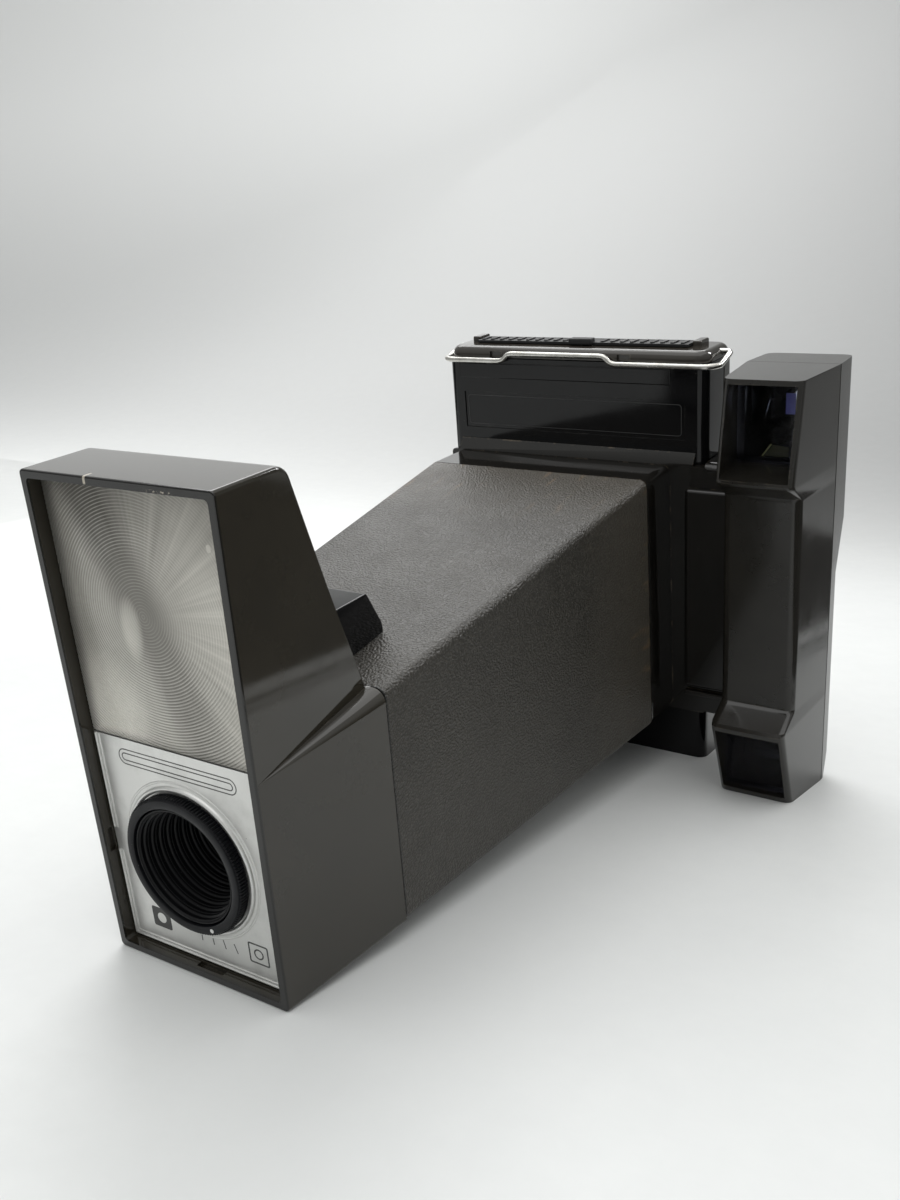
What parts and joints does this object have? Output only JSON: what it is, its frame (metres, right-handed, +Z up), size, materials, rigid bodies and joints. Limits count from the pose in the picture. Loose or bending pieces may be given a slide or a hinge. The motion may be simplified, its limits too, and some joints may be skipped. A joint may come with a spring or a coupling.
{
  "type": "instant camera",
  "caption": "Long fixed-focus portrait instant camera with a tall flash diffuser hood, a knurled exposure ring, a film back with a wire bail, and a rangefinder column.",
  "frame": {"origin": "centre of the bounding box at its base, on the surface the camera rests on", "axes": "+Z up; +Y backwards from the lens to the film back, tipped nose-down as the camera rests; +X towards the rangefinder column"},
  "size_m": [0.198, 0.3348, 0.2077],
  "materials": {
    "brown_gloss": "warm dark brown moulded plastic, satin gloss",
    "brown_grain": "same brown plastic with a fine leather grain",
    "black_gloss": "glossy black moulded plastic",
    "black_matt": "matt black plastic",
    "cap_grey": "brown grey plastic, polished by handling",
    "silver_panel": "satin silver panel",
    "diffuser": "clear ribbed diffuser plastic",
    "clear_glass": "clear lens",
    "coated_glass": "coated window glass",
    "mirror": "front-silvered mirror",
    "reflector": "bright reflector sheet",
    "chrome": "polished chrome",
    "spring_steel": "plain steel",
    "dark_steel": "blackened steel",
    "white_paint": "white index mark"
  },
  "bodies": {
    "camera_body": {"front_housing": "brown_gloss", "column_front": "brown_gloss", "column_rear": "brown_gloss", "body_tube": "brown_grain", "rear_frame": "black_gloss", "film_chamber": "black_gloss", "flash_housing": "black_gloss", "lens_hood": "black_matt", "shutter_board": "black_matt", "hood_rear_panel": "black_matt", "film_gate": "black_matt", "eyepiece_frame": "black_matt", "faceplate": "silver_panel", "fresnel_diffuser": "diffuser", "lens": "clear_glass", "eyepiece_lens": "clear_glass", "upper_window": "coated_glass", "lower_window": "coated_glass", "beam_splitter": "coated_glass", "lower_mirror": "mirror", "flash_reflector": "reflector", "board_screw_left": "spring_steel", "board_screw_right": "spring_steel", "column_screw_upper": "spring_steel", "column_screw_lower": "spring_steel", "socket_spring": "spring_steel", "hinge_pin": "spring_steel", "timer_movement": "spring_steel", "lens_retainer": "dark_steel"},
    "exposure_ring_body": {"exposure_ring": "black_matt", "ring_dot": "white_paint"},
    "aperture_body": {"aperture_disc": "dark_steel"},
    "lever_body": {"shutter_lever": "chrome"},
    "blade_body": {"shutter_blade": "dark_steel"},
    "trigger_body": {"flash_trigger": "spring_steel"},
    "socket_body": {"flash_socket": "black_matt"},
    "door_body": {"back_door": "brown_gloss", "door_cap": "cap_grey", "roller_carrier": "spring_steel", "pack_spring_left": "spring_steel", "pack_spring_right": "spring_steel"},
    "flap_body": {"exit_flap": "black_matt"},
    "bail_body": {"bail_latch": "chrome"},
    "front_roller_body": {"roller_front": "chrome"},
    "rear_roller_body": {"roller_rear": "chrome"},
    "dial_body": {"timer_dial": "black_matt"}
  },
  "joints": [
    {"name": "exposure_turn", "type": "hinge", "parent": "camera_body", "child": "exposure_ring_body", "pos_m": [-0.03242, -0.15001, 0.04362], "axis": [0, 0.9913, 0.1313], "range_deg": [-38, 38]},
    {"name": "aperture_turn", "type": "hinge", "parent": "camera_body", "child": "aperture_body", "pos_m": [-0.01942, -0.09677, 0.05067], "axis": [0, 0.9913, 0.1313], "range_deg": [-38.5, 38.5]},
    {"name": "shutter_press", "type": "hinge", "parent": "camera_body", "child": "lever_body", "pos_m": [-0.06442, -0.10403, 0.06585], "axis": [0, -0.9913, -0.1313], "range_deg": [0, 14], "stiffness_Nm_per_rad": 0.03, "springref_deg": -14.32},
    {"name": "blade_swing", "type": "hinge", "parent": "camera_body", "child": "blade_body", "pos_m": [-0.04942, -0.10082, 0.06829], "axis": [0, -0.9913, -0.1313], "range_deg": [-0.5, 43]},
    {"name": "trigger_lift", "type": "slide", "parent": "camera_body", "child": "trigger_body", "axis": [0, -0.1313, 0.9913], "range_m": [-0.0001, 0.0027]},
    {"name": "socket_turn", "type": "hinge", "parent": "camera_body", "child": "socket_body", "pos_m": [-0.03242, -0.08954, 0.12022], "axis": [0, -0.1313, 0.9913], "continuous": true},
    {"name": "door_swing", "type": "hinge", "parent": "camera_body", "child": "door_body", "pos_m": [-0.02692, 0.16345, 0.00745], "axis": [-1, 0, 0], "range_deg": [0, 90]},
    {"name": "flap_swing", "type": "hinge", "parent": "door_body", "child": "flap_body", "pos_m": [-0.02742, 0.13065, 0.20566], "axis": [-1, 0, 0], "range_deg": [0, 75], "stiffness_Nm_per_rad": 0.002, "springref_deg": -17.19},
    {"name": "bail_swing", "type": "hinge", "parent": "door_body", "child": "bail_body", "pos_m": [-0.02582, 0.12964, 0.20189], "axis": [-1, 0, 0], "range_deg": [0, 100]},
    {"name": "front_roller_spin", "type": "hinge", "parent": "door_body", "child": "front_roller_body", "pos_m": [-0.02712, 0.12268, 0.18665], "axis": [1, 0, 0], "continuous": true},
    {"name": "rear_roller_spin", "type": "hinge", "parent": "door_body", "child": "rear_roller_body", "pos_m": [-0.02712, 0.1314, 0.1878], "axis": [1, 0, 0], "continuous": true},
    {"name": "timer_turn", "type": "hinge", "parent": "camera_body", "child": "dial_body", "pos_m": [0.07818, 0.14603, 0.06667], "axis": [0, -0.9913, -0.1313], "range_deg": [0, 270], "stiffness_Nm_per_rad": 0.002, "springref_deg": -28.65}
  ],
  "couplings": [
    {"joint": "aperture_turn", "follows": "exposure_turn", "ratio": -1},
    {"joint": "blade_swing", "follows": "shutter_press", "ratio": 3},
    {"joint": "trigger_lift", "follows": "shutter_press", "m_per_rad": 0.0105},
    {"joint": "rear_roller_spin", "follows": "front_roller_spin", "ratio": -1}
  ]
}
